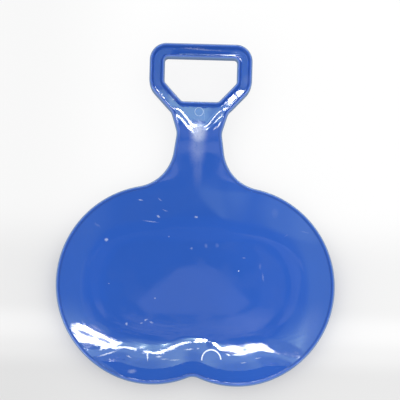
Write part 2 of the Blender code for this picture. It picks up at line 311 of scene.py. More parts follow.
def hole_points(o):
    """Right half of the hand hole, from its top down to its bottom."""
    half_width = o.handle_half_width - o.side_bar_width
    top = o.handle_top_y - o.grip_bar_width
    elbow = o.elbow_y + o.side_bar_width * tan(o.strut_angle / 2)
    bottom_half_width = half_width - (elbow - o.hole_bottom_y) * tan(o.strut_angle)
    return rounded_chain([
        ((0.0, top), 0.0),
        ((half_width, top), o.hole_top_corner_radius),
        ((half_width, elbow), o.hole_corner_radius),
        ((bottom_half_width, o.hole_bottom_y), o.hole_corner_radius),
        ((0.0, o.hole_bottom_y), 0.0),
    ])


def nearest_edge(places, chain):
    """Distance in plan from each place to a chain of points and to its mirror image."""
    starts = np.array([p[:] for p in chain[:-1]])
    runs = np.array([p[:] for p in chain[1:]]) - starts
    across = np.column_stack([np.abs(places[:, 0]), places[:, 1]])
    nearest = []
    for first in range(0, len(across), DISTANCE_BATCH):
        offsets = across[first:first + DISTANCE_BATCH, None, :] - starts[None, :, :]
        along = np.clip((offsets * runs).sum(axis=2) / (runs ** 2).sum(axis=1), 0.0, 1.0)
        nearest.append(np.linalg.norm(offsets - along[:, :, None] * runs, axis=2).min(axis=1))
    return np.concatenate(nearest)


def rear_of_pan(o):
    """Y at which the lobes end, just behind the pan's rearmost point."""
    return o.pan_widest_y - o.lobe_side_radius


def brim_at(x, y, o, s):
    """Width of the level brim, full along the rear and run out at the sides."""
    tail_angle = np.arctan2(np.abs(x), o.pan_widest_y - y)
    narrowing = ease((tail_angle - s.brim_full_angle) / (s.brim_end_angle - s.brim_full_angle))
    return s.brim_width * (1.0 - narrowing)


def wall_share(x, y, from_edge, o, s):
    """How far the pan's wall has climbed: 0 at its foot, 1 at its top and on the brim behind it."""
    middle = 1.0 - ease((np.abs(x) - s.middle_half_width) / (s.middle_end - s.middle_half_width))
    foot = s.wall_foot + (s.middle_foot - s.wall_foot) * middle
    foot_power = s.wall_foot_power + (s.middle_foot_power - s.wall_foot_power) * middle
    top_power = s.wall_top_power + (s.middle_top_power - s.wall_top_power) * middle
    climbed = np.clip((foot - from_edge) / (foot - brim_at(x, y, o, s)), 0.0, 1.0) * s.wall_end
    top = 1.0 - (1.0 - s.wall_end ** foot_power) ** top_power
    return (1.0 - (1.0 - climbed ** foot_power) ** top_power) / top


def past_bend(y, start, run):
    """Way along y past a rounded bend: 0 before it, and growing as y does beyond it."""
    t = np.clip((y - start) / run, 0.0, 1.0)
    return run * (t ** 3 - t ** 4 / 2.0) + np.maximum(y - start - run, 0.0)


def rim_line(y, s):
    """Height of the rim above the pan's floor, along pan, neck, web and handle."""
    neck = tan(s.neck_slope) * past_bend(y, s.neck_bend_y, s.neck_bend_length)
    into_web = tan(s.web_slope) - tan(s.neck_slope)
    web = into_web * past_bend(y, s.web_bend_y, s.web_bend_length)
    into_handle = tan(s.handle_slope) - tan(s.web_slope)
    handle = into_handle * past_bend(y, s.handle_bend_y, s.handle_bend_length)
    return s.wall_height + neck + web + handle


def rise_of_sheet(x, y, from_edge, o, s):
    """Height of the seat face without bead and tray: floor, walls, brim, neck and handle."""
    floor = ease((y - s.floor_rise_start_y) / (s.floor_rise_end_y - s.floor_rise_start_y))
    walls = floor + (1.0 - floor) * wall_share(x, y, from_edge, o, s)
    return s.sheet + rim_line(y, s) * walls


def tray_share(x, y, s):
    """How far the handle's tray, or the groove below it, is sunk: 1 is the full depth."""
    sideways = (np.abs(x) - s.tray_mouth_flat) / (s.tray_mouth_half_width - s.tray_mouth_flat)
    mouth = s.tray_mouth_y + s.tray_mouth_sag * ease(sideways)
    tray = ease((y - mouth) / s.tray_ramp)
    taper = np.clip((y - s.groove_tip_y) / (s.tray_mouth_y - s.groove_tip_y), 0.0, 1.0)
    half_width = np.maximum(s.groove_half_width * taper, s.edge_ease / 2)
    groove = s.groove_depth / s.tray_depth * taper * ease(1.0 - np.abs(x) / half_width)
    return tray + groove * (1.0 - tray)


def bead_share(y, s):
    """The bead is full along the pan and the handle, and low along the neck."""
    into_neck = ease((y - s.neck_bead_start_y) / s.neck_bead_fade)
    out_of_neck = ease((y - s.neck_bead_end_y) / s.neck_bead_fade)
    return 1.0 - (1.0 - s.neck_bead_share) * into_neck * (1.0 - out_of_neck)


def seat_face(x, y, from_edge, o, s):
    """Height of the upper face, with its bead and its tray."""
    inside_bead = ease((from_edge - s.bead_width) / s.tray_wall)
    across_bead = np.clip(2.0 * from_edge / s.bead_width - 1.0, -1.0, 1.0)
    bead = s.bead_height * bead_share(y, s) * np.sqrt(1.0 - across_bead ** 2)
    tray = s.tray_depth * tray_share(x, y, s) * inside_bead
    return rise_of_sheet(x, y, from_edge, o, s) + bead - tray


def sliding_face(x, y, from_edge, o, s):
    """Height of the under face, eased along its edge."""
    eased = s.edge_ease * np.clip(1.0 - from_edge / s.edge_ease, 0.0, 1.0)
    tray = s.tray_depth * tray_share(x, y, s)
    return rise_of_sheet(x, y, from_edge, o, s) - s.sheet - tray + eased


def flat_blank(mesh, outline):
    """The outline with its hand hole as two flat faces that meet on the axis."""
    right = outer_points(outline) + hole_points(outline)
    corners = [mesh.verts.new((p.x, p.y, 0.0)) for p in right]
    mesh.faces.new(corners)
    everything = mesh.verts[:] + mesh.edges[:] + mesh.faces[:]
    bmesh.ops.mirror(mesh, geom=everything, axis='X', merge_dist=SAME_PLACE)
    bmesh.ops.recalc_face_normals(mesh, faces=mesh.faces)


def cut_faces(mesh, faces, point, direction):
    """Cut faces along the plane through a point that is square to a direction."""
    edges = {e for f in faces for e in f.edges}
    corners = {v for f in faces for v in f.verts}
    bmesh.ops.bisect_plane(mesh, geom=[*corners, *edges, *faces], dist=SAME_PLACE,
                           plane_co=point, plane_no=direction)


def cut_cells(mesh, middle, axis, places, least_y):
    """Cut the middle faces that lie beyond least_y into cells along one axis."""
    direction = Vector((1.0, 0.0, 0.0)) if axis == 0 else Vector((0.0, 1.0, 0.0))
    for place in places:
        faces = [f for f in mesh.faces if f.material_index == middle]
        faces = [f for f in faces if max(v.co.y for v in f.verts) > least_y]
        faces = [f for f in faces if min(v.co[axis] for v in f.verts) < place]
        faces = [f for f in faces if max(v.co[axis] for v in f.verts) > place]
        cut_faces(mesh, faces, direction * place, direction)


def crease_line(outer, outline, section):
    """Points of the crease between rear wall and brim, one for each column of cells."""
    reach = int(outline.pan_half_width / PAN_CELL)
    y = np.arange(rear_of_pan(outline), outline.pan_widest_y, CREASE_STEP)
    points = []
    for x in np.arange(-reach, reach + 1) * PAN_CELL:
        places = np.column_stack([np.full(len(y), x), y])
        from_edge = nearest_edge(places, outer)
        edge = np.argmin(from_edge)
        beyond = (from_edge - brim_at(places[:, 0], y, outline, section))[edge:]
        first = np.argmax(beyond > 0.0)
        if first and from_edge[edge + first] > LEAST_CREASE_BRIM:
            overshoot = beyond[first] / (beyond[first] - beyond[first - 1]) * CREASE_STEP
            points.append(Vector((x, y[edge + first] - overshoot, 0.0)))
    return points


def cut_crease(mesh, middle, crease):
    """Cut the cells along the crease, one column of cells after the other."""
    columns = {}
    for face in mesh.faces:
        if face.material_index == middle:
            columns.setdefault(int(face.calc_center_median().x // PAN_CELL), []).append(face)
    for start, end in zip(crease, crease[1:]):
        column = columns[int((start.x + end.x) / 2 // PAN_CELL)]
        low, high = sorted((start.y, end.y))
        faces = [f for f in column if low - PAN_CELL < f.calc_center_median().y < high + PAN_CELL]
        cut_faces(mesh, faces, start, (end - start).cross(UP).normalized())


def divide_blank(mesh, outline, section):
    """Rings along the edges for bead and tray wall, then cells over the rest."""
    rings = [section.bead_width * part for part in BEAD_RINGS]
    rings += [section.bead_width + section.tray_wall * part for part in TRAY_WALL_RINGS]
    middle = mesh.faces[:]
    for inner, outer in zip(rings, [0.0] + rings):
        bmesh.ops.inset_region(mesh, faces=middle, thickness=inner - outer, use_boundary=True,
                               use_even_offset=True)
    ring, cell = 0, 1
    for face in mesh.faces:
        face.material_index = cell if face in middle else ring
    for step, least_y in ((PAN_CELL, rear_of_pan(outline)), (HANDLE_CELL, FINE_CELLS_Y)):
        across = np.arange(step, outline.pan_half_width, step)
        cut_cells(mesh, cell, 0, [*across, *-across], least_y)
        cut_cells(mesh, cell, 1, np.arange(least_y, outline.handle_top_y, step), least_y)
    cut_crease(mesh, cell, crease_line(outer_points(outline), outline, section))
    bmesh.ops.remove_doubles(mesh, verts=mesh.verts, dist=CLOSE_CORNERS)
    for face in mesh.faces:
        face.material_index = 0


def press_to_shape(mesh, outline, section):
    """Extrude the blank into a closed sheet and press both of its faces to their heights."""
    outer, hole = outer_points(outline), hole_points(outline)
    edge_distance = mesh.verts.layers.float.new(EDGE_DISTANCE)
    crease = set()
    lower = mesh.verts[:]
    raised = bmesh.ops.extrude_face_region(mesh, geom=mesh.faces[:], use_keep_orig=True)
    upper = [v for v in raised['geom'] if isinstance(v, bmesh.types.BMVert)]
    for verts, height_of in ((lower, sliding_face), (upper, seat_face)):
        places = np.array([v.co[:2] for v in verts])
        from_edge = np.minimum(nearest_edge(places, outer), nearest_edge(places, hole))
        heights = height_of(places[:, 0], places[:, 1], from_edge, outline, section)
        brims = brim_at(places[:, 0], places[:, 1], outline, section)
        on_crease = (np.abs(from_edge - brims) < CLOSE_CORNERS) & (brims > LEAST_CREASE_BRIM)
        for vert, height, inwards in zip(verts, heights, from_edge):
            vert.co.z = height
            vert[edge_distance] = inwards
        crease.update(vert for vert, creased in zip(verts, on_crease) if creased)
    bmesh.ops.recalc_face_normals(mesh, faces=mesh.faces)
    for face in mesh.faces:
        face.smooth = True
    for edge in mesh.edges:
        creased = crease.issuperset(edge.verts)
        edge.smooth = not creased and edge.calc_face_angle(0.0) < SHARP_ANGLE


def put_in_order(mesh):
    """Order the faces by their corners, because an extrusion makes its sides in any order."""
    mesh.verts.index_update()
    ordered = sorted(mesh.faces, key=lambda face: sorted(v.index for v in face.verts))
    for place, face in enumerate(ordered):
        face.index = place
    mesh.faces.sort()


class Nodes:
    """Adds nodes to one tree and joins them."""

    def __init__(self, tree):
        self.tree = tree
        self.tree.nodes.clear()

    def add(self, kind, inputs=(), **settings):
        """Add a node; an input takes either a plain value or another node's output."""
        node = self.tree.nodes.new(kind)
        for name, value in settings.items():
            setattr(node, name, value)
        for socket, value in dict(inputs).items():
            if isinstance(value, bpy.types.NodeSocket):
                self.tree.links.new(value, node.inputs[socket])
            else:
                node.inputs[socket].default_value = value
        return node

    def math(self, operation, first, second=0.0, third=0.0):
        """Result of a Math node."""
        node = self.add('ShaderNodeMath', {0: first, 1: second, 2: third}, operation=operation)
        return node.outputs[0]

    def product(self, first, second):
        """Two values multiplied."""
        return self.math('MULTIPLY', first, second)

    def total(self, first, second):
        """Two values added up."""
        return self.math('ADD', first, second)

    def larger(self, first, second):
        """The larger of two values."""
        return self.math('MAXIMUM', first, second)

    def off_from(self, value, middle):
        """How far a value is from a number, without its sign."""
        return self.math('ABSOLUTE', self.math('SUBTRACT', value, middle))

    def between(self, value, low, high, at_low=0.0, at_high=1.0):
        """Smooth step of a value from one number to another."""
        inputs = {'Value': value, 'From Min': low, 'From Max': high, 'To Min': at_low,
                  'To Max': at_high}
        return self.add('ShaderNodeMapRange', inputs,
                        interpolation_type='SMOOTHERSTEP').outputs['Result']

    def axes(self, vector):
        """X, Y and Z of a vector."""
        return self.add('ShaderNodeSeparateXYZ', {0: vector}).outputs

    def noise(self, vector, scale, detail):
        """Noise texture at so many patches to the metre."""
        return self.add('ShaderNodeTexNoise', {'Vector': vector, 'Scale': scale, 'Detail': detail})

    def mixed(self, factor, first, second):
        """Mix of two colours; the first may be another node's output."""
        if not isinstance(first, bpy.types.NodeSocket):
            first = (*first, 1.0)
        node = self.add('ShaderNodeMix', {'Factor': factor, 'A': first, 'B': (*second, 1.0)},
                        data_type='RGBA')
        return node.outputs[2]


def node_material(name):
    """New material with an empty node tree, and the means to fill it."""
    material = bpy.data.materials.new(name)
    material.use_nodes = True
    return material, Nodes(material.node_tree)


def finished_object(scene, name, mesh, material):
    """Object in the scene that holds a finished bmesh in one material."""
    data = bpy.data.meshes.new(name)
    mesh.to_mesh(data)
    mesh.free()
    data.materials.append(material)
    finished = bpy.data.objects.new(name, data)
    scene.collection.objects.link(finished)
    return finished


# Rub marks and painted highlights: middle X and Y, half length and half width in mm, turn in
# degrees, strength
RUB_MARKS_AND_PAINTED_HIGHLIGHTS = (
    # Left half of the pan
    (-76, 17.5, 4.5, 0.7, -3, 0.5), (-50, 19, 4, 0.8, -35, 0.25),
    (-43, 5.5, 4.5, 0.8, -20, 0.25), (-52, -2.5, 3, 1.4, -30, 0.4),
    (-62, -9.5, 12, 0.8, -6, 0.35), (-120.5, -35.5, 3.2, 2.8, 0, 0.5),
    (-133, -17, 6, 2, -30, 0.07), (-37, -29, 1.4, 1.2, 0, 0.3),
    (-115, -94, 1.0, 1.0, 0, 0.6), (-53, -112, 1.6, 1.3, 0, 0.35),
    (-64, -141, 3, 1.3, 10, 0.45), (-57, -144, 3.5, 1.2, -15, 0.3),
    (-70, -145.5, 2.5, 1.2, 20, 0.3), (-89.5, -147, 1.8, 2.8, 0, 0.4),
    (-78.5, -209, 7, 3.4, 8, 0.2),
    # Right half of the pan
    (-1, -1.8, 2.6, 1.9, 0, 0.45), (-6.5, -44, 2.6, 1.6, 0, 0.2),
    (13, -40, 2.6, 4, 10, 0.10), (28, -39, 3, 4, 20, 0.07),
    (64, -55, 2.8, 0.9, -10, 0.25), (57.5, -73, 1.1, 1.1, 0, 1.0),
    (90, -80, 1.3, 7, 8, 0.12), (86, -66, 2, 5, 0, 0.06),
    (104, 5, 6, 8, 0, 0.03), (144, -20, 8, 0.9, -12, 0.07),
    # The broad, faint mark that ends this half is a painted reflection: a lighter stripe over the
    # right lobe
    (120, -24, 4, 0.8, 35, 0.07), (150, -150, 46, 17, 68, 0.035),
    # Rear wall: painted highlights, short pieces of the reflected window and an upright stroke
    (-60, -188, 9, 0.95, 95, 0.95), (-45, -189, 5, 1.6, 4, 0.6),
    (-37, -192, 7, 1.0, 3, 0.3), (-24, -193, 9, 1.2, 3, 0.3),
    (-6, -178.5, 7, 1.2, 6, 0.7), (6, -177, 2.5, 1.2, 0, 0.6),
    (45.5, -184, 4.5, 1.3, -25, 0.8), (65.5, -194, 5, 1.0, 5, 0.4),
    (84.5, -187.5, 5, 1.0, 12, 0.45), (-112, -187, 16, 1.3, 20, 0.7),
    (-84, -190, 4.5, 1.1, -25, 0.5),
    # Neck and web: a painted soft highlight down the middle, and painted highlight strokes at the
    # right of the web
    (-1, 109, 20, 14, 90, 0.50), (-2, 90, 34, 14, 90, 0.16),
    (-1, 66, 38, 9, 90, 0.06), (6, 132, 18, 0.6, 90, 0.10),
    (26, 119, 7, 1.1, 62, 0.85), (21, 114.5, 5, 1.0, 45, 0.6),
    (29.5, 133, 3.5, 0.9, 80, 0.6),
    # Handle: a painted highlight on the left strut, a painted lighter patch on the right side bar,
    # and pale streaks along the grip bar
    (-37.5, 155, 9, 7, 45, 0.08), (-36, 153, 2.4, 1.4, 0, 0.4), (62, 181, 7, 9, 0, 0.05),
    (-8, 219.5, 22, 0.8, -1, 0.30), (12, 218.3, 30, 0.7, -2, 0.18),
    (-12, 212, 26, 2.5, 0, 0.05),
)
# Rings: a pale ring on the web, and a painted highlight shaped as an arch at the rear; the same
# numbers, then where the ring begins, from 0 at its lowest point to 1 at its highest
RINGS_AND_PAINTED_ARCH = (
    (-1, 137, 5.7, 5.7, 0, 0.28, 0.0),
    (23.5, -191.7, 12.5, 13.5, 4, 0.95, 0.5),
)
# Dull bands, which mirror little and are painted a little paler as a faint reflection: the same
# numbers as the rub marks
DULL_BANDS = (
    # Rear wall and brim
    (-141, -162, 13, 2.3, -22, 0.85), (-137, -178, 16, 4.5, -8, 0.93),
    (-119, -169, 12, 1.8, -22, 0.85), (-118, -171, 9, 1.2, -18, 0.8),
    (-127, -153, 19, 7, -23, 0.94), (-109, -207, 23, 4, -32, 0.95), (-126, -194.5, 4, 4, 0, 1.0),
    (124, -195.7, 4, 4, 0, 1.0), (119, -174, 28, 10, -18, 0.94), (45, -181, 14, 2.5, -5, 0.9),
    (21, -170, 5, 7, 0, 0.93),
    # Web, right strut and grip
    (0, 111.5, 10, 6.5, 0, 0.9), (48.5, 160.5, 9, 1.6, 132, 0.85),
    (57.5, 169.5, 9, 1.6, 132, 0.85), (8, 210.3, 50, 2.6, 0, 0.9),
)
# Shares of their size at which a mark fades out, and up to which the rub marks and painted
# highlights, and the bands, are full
MARK_END = 1.15
RUB_AND_HIGHLIGHT_CORE = 0.1
BAND_CORE = 0.7
# Half of a ring's line, and the fade at its ends, as shares of its size
RING_LINE = 0.09
RING_FADE = 0.05
# How far the grain shakes the outlines of marks and bands
FRAYING = 3 * MM

# Noise in patches to the metre
GRAIN_SCALE = 420.0
RIPPLE_SCALE = 130.0
SMUDGE_SCALE = 30.0
BLOTCH_SCALE = 24.0
# Streaks of the rear wall: patches to the metre along it and up it, and how much it bows per metre
STREAKS_ALONG = 28.0
STREAKS_UP = 170.0
REAR_WALL_BOW = 1.46

# The foot of the pan's wall mirrors less between these heights: from none to full, and back
FOOT_BEGINS = (2.5 * MM, 2.7 * MM)
FOOT_ENDS = (8.0 * MM, 5.0 * MM)
# Specular level of clean plastic, which the dull places take away
FULL_SHINE = 0.5


def distance_from_mark(nodes, place, x, y, half_length, half_width, turn):
    """Place from a mark's middle in units of its half sizes, and its distance from there."""
    mapped = nodes.add('ShaderNodeMapping', {
        'Vector': place,
        'Location': (x * MM, y * MM, 0.0),
        'Rotation': (0.0, 0.0, radians(turn)),
        'Scale': (half_length * MM, half_width * MM, 1.0),
    }, vector_type='TEXTURE').outputs['Vector']
    away = nodes.add('ShaderNodeVectorMath', {0: mapped}, operation='LENGTH').outputs['Value']
    return mapped, away


def marked_share(nodes, frayed, marks, core):
    """Strongest of a list of marks at each place, in full up to the given share of their size."""
    marked = 0.0
    for *outline, strength in marks:
        away = distance_from_mark(nodes, frayed, *outline)[1]
        marked = nodes.larger(marked, nodes.between(away, MARK_END, core, 0.0, strength))
    return marked


def rubbed_and_highlight_share(nodes, place, frayed, grain):
    """Where single rub marks and rings turn the plastic pale, and where highlights are painted on
    as pale marks.
    """
    rubbed_and_highlit = marked_share(nodes, frayed, RUB_MARKS_AND_PAINTED_HIGHLIGHTS, RUB_AND_HIGHLIGHT_CORE)
    for *outline, strength, begins in RINGS_AND_PAINTED_ARCH:
        mapped, away = distance_from_mark(nodes, place, *outline)
        off_line = nodes.off_from(away, 1.0)
        height = nodes.axes(mapped)['Y']
        first = 2.0 * begins - 1.0
        drawn = nodes.between(height, first - RING_FADE, first + RING_FADE, 0.0, strength)
        ring = nodes.product(nodes.between(off_line, RING_LINE, RING_LINE / 2), drawn)
        rubbed_and_highlit = nodes.larger(rubbed_and_highlit, ring)
    return nodes.product(rubbed_and_highlit, nodes.between(grain, 0.28, 0.5, 0.7, 1.0))


def frayed_place(nodes, place, grain):
    """Places shaken by the grain, so that the marks drawn on them get frayed outlines."""
    shake = nodes.add('ShaderNodeVectorMath', {0: grain, 1: (-0.5, -0.5, -0.5)},
                      operation='ADD').outputs['Vector']
    return nodes.add('ShaderNodeVectorMath', {0: shake, 1: (FRAYING, FRAYING, 0.0), 2: place},
                     operation='MULTIPLY_ADD').outputs['Vector']


def wall_foot_share(nodes, place):
    """Where the pan's floor turns up into its wall, less on the right and not at the rear."""
    x, y, z = nodes.axes(place)
    foot = nodes.product(nodes.between(z, *FOOT_BEGINS), nodes.between(z, *FOOT_ENDS))
    foot = nodes.product(foot, nodes.between(y, -0.13, -0.11, 0.0, 0.85))
    return nodes.product(foot, nodes.between(x, 0.04, 0.10, 1.0, 0.6))


def uneven_normal(nodes, place, look):
    """Waves that follow the rear wall, and ripples that are strongest around the handle."""
    x, y = nodes.axes(place)[:2]
    bow = nodes.math('MULTIPLY_ADD', nodes.product(x, x), -REAR_WALL_BOW, y)
    along = nodes.add('ShaderNodeCombineXYZ', {0: nodes.product(x, STREAKS_ALONG),
                                               1: nodes.product(bow, STREAKS_UP)})
    streaks = nodes.noise(along.outputs[0], 1.0, 4.0)
    on_rear_wall = nodes.between(y, -0.135, -0.165, 0.0, look.waves)
    waves = nodes.product(streaks.outputs['Fac'], on_rear_wall)
    uneven = nodes.noise(place, RIPPLE_SCALE, 2.0)
    ripples = nodes.between(y, 0.07, 0.11, look.pan_ripples, look.ripples)
    height = nodes.math('MULTIPLY_ADD', uneven.outputs['Fac'], ripples, waves)
    return nodes.add('ShaderNodeBump',
                     {'Strength': 1.0, 'Distance': 1.0, 'Height': height}).outputs[0]


def tone_and_painted_side_light(nodes, place, look):
    """Strength of the blue: painted light makes the right half paler, a painted reflection makes
    the far left a little paler, and it is blotchy.
    """
    x = nodes.axes(place)['X']
    # Painted light on the right half, and a painted reflection on the far left
    right = nodes.between(x, -0.02, 0.11, 1.0, 1.0 + look.painted_side_light)
    left = nodes.between(x, -0.08, -0.15, 0.0, look.painted_side_light / 2)
    spots = nodes.noise(place, BLOTCH_SCALE, 3.0).outputs['Fac']
    uneven = nodes.math('MULTIPLY_ADD', spots, look.blotches, -look.blotches / 2)
    return nodes.total(nodes.total(right, left), uneven)


def body_colour(nodes, place, from_edge, rubbed_and_highlit, dulled, look):
    """Blue that is paler on the worn rim, partly a painted highlight, and in the dull bands, a
    painted faint reflection; nearly white at rub marks and painted highlights.
    """
    # Worn rim, painted paler: partly wear, partly a painted highlight along the bead's crest
    worn_and_highlit = nodes.between(from_edge, look.rim_wear, look.rim_wear * 0.2)
    # The dull bands are painted a quarter of the way to the paler blue, a painted faint reflection
    # where their mirroring is taken away
    pale = nodes.larger(worn_and_highlit, nodes.product(dulled, 0.25))
    body = nodes.mixed(pale, look.blue, look.worn_and_highlit_blue)
    body = nodes.mixed(rubbed_and_highlit, body, look.rubbed_and_highlight_white)
    # Painted shade: a darker line along the foot of the bead, where the bead shades the sheet
    # beside it; then the painted side light and the blotches
    off_bead_foot = nodes.off_from(from_edge, look.rim_wear * 1.55)
    painted_shade_light_and_blotches = nodes.between(off_bead_foot, look.rim_wear * 0.5, 0.0, 1.0, 0.8)
    painted_shade_light_and_blotches = nodes.product(painted_shade_light_and_blotches, tone_and_painted_side_light(nodes, place, look))
    return nodes.add('ShaderNodeVectorMath', {0: body, 'Scale': painted_shade_light_and_blotches},
                     operation='SCALE').outputs[0]


def blue_plastic(look):
    """Glossy blue polyethylene with a worn rim, rub marks, painted highlights, shade and side
    light, and an uneven surface.
    """
    material, nodes = node_material("glossy_blue_polyethylene")
    coordinates = nodes.add('ShaderNodeTexCoord')
    place = coordinates.outputs['Object']
    on_seat_face = nodes.between(nodes.axes(coordinates.outputs['Normal'])['Z'], 0.0, 0.15)
    from_edge = nodes.add('ShaderNodeAttribute', attribute_name=EDGE_DISTANCE).outputs['Fac']
    grain = nodes.noise(place, GRAIN_SCALE, 3.0)
    frayed = frayed_place(nodes, place, grain.outputs['Color'])
    rubbed_and_highlit = rubbed_and_highlight_share(nodes, place, frayed, grain.outputs['Fac'])
    rubbed_and_highlit = nodes.product(rubbed_and_highlit, on_seat_face)
    dulled = nodes.product(marked_share(nodes, frayed, DULL_BANDS, BAND_CORE), on_seat_face)
    foot = wall_foot_share(nodes, place)
    body = body_colour(nodes, place, from_edge, rubbed_and_highlit, dulled, look)
    smudges = nodes.noise(place, SMUDGE_SCALE, 5.0).outputs['Fac']
    clean = nodes.between(smudges, 0.45, 0.65, look.roughness, look.roughness * 2.2)
    brushed = nodes.between(from_edge, look.rim_wear * 2.2, look.rim_wear * 1.2)
    lack_of_shine = nodes.larger(dulled, nodes.larger(foot, nodes.product(brushed, 0.7)))
    roughness = nodes.math('MULTIPLY_ADD', nodes.larger(brushed, rubbed_and_highlit), look.worn_roughness,
                           clean)
    shader = nodes.add('ShaderNodeBsdfPrincipled', {
        'Base Color': body,
        'Roughness': roughness,
        'IOR': look.ior,
        'Specular IOR Level': nodes.math('MULTIPLY_ADD', lack_of_shine, -FULL_SHINE, FULL_SHINE),
        'Normal': uneven_normal(nodes, place, look),
    })
    nodes.add('ShaderNodeOutputMaterial', {'Surface': shader.outputs[0]})
    return material


class SLIDER_OT_moulding(bpy.types.Operator):
    """Model the moulding and put it in place of the plain solid"""
    bl_idname = "slider.moulding"
    bl_label = "Build Moulding"

    def execute(self, context):
        scene = context.scene
        outline, section = scene.slider_outline, scene.slider_section
        mesh = bmesh.new()
        flat_blank(mesh, outline)
        divide_blank(mesh, outline, section)
        press_to_shape(mesh, outline, section)
        put_in_order(mesh)
        plastic = blue_plastic(scene.slider_plastic)
        moulding = finished_object(scene, "slider_moulding", mesh, plastic)
        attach(moulding, "root")
        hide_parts(CAD_NODE)
        return {'FINISHED'}


def place_camera(scene, studio):
    """Camera above the slider, tilted towards its rear."""
    aim = Vector((0.0, studio.aim_y, 0.0))
    lean = Vector((0.0, -sin(studio.camera_tilt), cos(studio.camera_tilt)))
    data = bpy.data.cameras.new("camera")
    data.lens = studio.focal_length
    data.sensor_width = 36.0
    data.shift_x = studio.shift_x
    data.shift_y = studio.shift_y
    camera = bpy.data.objects.new("camera", data)
    camera.location = aim + lean * studio.camera_distance
    turn = (-lean).to_track_quat('-Z', 'Y') @ Quaternion(UP, studio.camera_roll)
    camera.rotation_euler = turn.to_euler()
    scene.collection.objects.link(camera)
    scene.camera = camera


# Strength of the even light that the world casts on everything
WORLD_LIGHT = 1.12
FLOOR_HALF_WIDTH = 4.0
# The floor lies this far below the slider, so that the two never share a plane
FLOOR_GAP = 0.2 * MM
# Steps by which the floor gets darker towards the south: Y where each begins and ends, change
FLOOR_STEPS = ((0.03, -0.08, -0.085), (-0.175, -0.215, -0.09))
# Pale band across the floor: Y of its middle, half width, strength
FLOOR_BAND = (-0.150, 0.035, 0.07)


def floor_material():
    """Pale matt floor whose own light fades the shadows, brightest at the north and the east."""
    material, nodes = node_material("pale_floor")
    x, y = nodes.axes(nodes.add('ShaderNodeTexCoord').outputs['Object'])[:2]
    grey = nodes.total(nodes.between(y, 0.02, -0.10, 0.22, 0.62),
                       nodes.between(y, -0.18, -0.22, 0.0, -0.16))
    level = nodes.between(x, -0.04, -0.26, 1.005, 0.943)
    for begins, ends, change in FLOOR_STEPS:
        level = nodes.total(level, nodes.between(y, begins, ends, 0.0, change))
    middle, half_width, strength = FLOOR_BAND
    level = nodes.total(level, nodes.between(nodes.off_from(y, middle), half_width, 0.0, 0.0,
                                             strength))
    glow = nodes.math('MULTIPLY_ADD', grey, -WORLD_LIGHT, level)
    rays = nodes.add('ShaderNodeLightPath').outputs
    glow = nodes.product(nodes.larger(rays['Is Camera Ray'], rays['Is Glossy Ray']), glow)
    colour_of_floor = nodes.add('ShaderNodeCombineColor', {0: grey, 1: grey, 2: grey})
    matt = nodes.add('ShaderNodeBsdfDiffuse', {'Color': colour_of_floor.outputs[0]})
    shine = nodes.add('ShaderNodeEmission', {'Strength': glow})
    both = nodes.add('ShaderNodeAddShader', {0: matt.outputs[0], 1: shine.outputs[0]})
    nodes.add('ShaderNodeOutputMaterial', {'Surface': both.outputs[0]})
    return material


def lay_floor(scene):
    """Large floor under the slider."""
    mesh = bmesh.new()
    bmesh.ops.create_grid(mesh, x_segments=1, y_segments=1, size=FLOOR_HALF_WIDTH,
                          matrix=Matrix.Translation(UP * -FLOOR_GAP))
    floor = finished_object(scene, "floor", mesh, floor_material())


NEUTRAL = (1.0, 1.0, 1.0)
GREENISH = (0.66, 1.0, 0.76)
ROOM_TINT = (0.74, 1.0, 0.78)
# Dim light of the room that reflections see, by direction: axis, begins, full from, strength
ROOM_GLOWS = (
    ('Y', -0.6, -0.85, 0.8),
    ('X', 0.1, 0.6, 0.4),
    ('X', -0.06, -0.18, 0.35),
    ('X', -0.2, -0.6, 0.55),
)
# Least light of the room in reflections
ROOM_LEAST_LIGHT = 0.06


def soft_world(scene):
    """Even white light, and for reflections a greenish room that is bright to the north."""
    world = bpy.data.worlds.new("soft_studio")
    scene.world = world
    world.use_nodes = True
    nodes = Nodes(world.node_tree)
    towards = nodes.axes(nodes.add('ShaderNodeTexCoord').outputs['Generated'])
    x, y = towards['X'], towards['Y']
    north = nodes.product(nodes.between(y, 0.15, 0.7, 0.0, 2.8),
                          nodes.between(x, -0.65, -0.45, 0.2, 1.0))
    room = nodes.math('MULTIPLY_ADD', north, nodes.between(y, 0.9, 0.99, 1.0, 0.45),
                      ROOM_LEAST_LIGHT)
    south = nodes.product(nodes.between(y, -0.25, -0.4), nodes.between(x, 0.06, -0.15, 0.1, 0.6))
    room = nodes.total(room, south)
    for axis, begins, full, strength in ROOM_GLOWS:
        room = nodes.total(room, nodes.between(towards[axis], begins, full, 0.0, strength))
    glossy = nodes.add('ShaderNodeLightPath').outputs['Is Glossy Ray']
    strength = nodes.add('ShaderNodeMix', {'Factor': glossy, 'A': WORLD_LIGHT, 'B': room})
    light = nodes.add('ShaderNodeBackground', {
        'Color': nodes.mixed(glossy, NEUTRAL, ROOM_TINT),
        'Strength': strength.outputs['Result'],
    })
    nodes.add('ShaderNodeOutputWorld', {'Surface': light.outputs[0]})


# Planes of the bright cards: azimuth and zenith in degrees, distance in mm
KEY_WINDOW = (10.0, 42.0, 600.0)
FAR_WINDOW = (18.5, 33.9, 3000.0)
OVERHEAD = (0.0, 0.0, 1000.0)
ABOVE_HANDLE = (0.0, 0.0, 300.0)
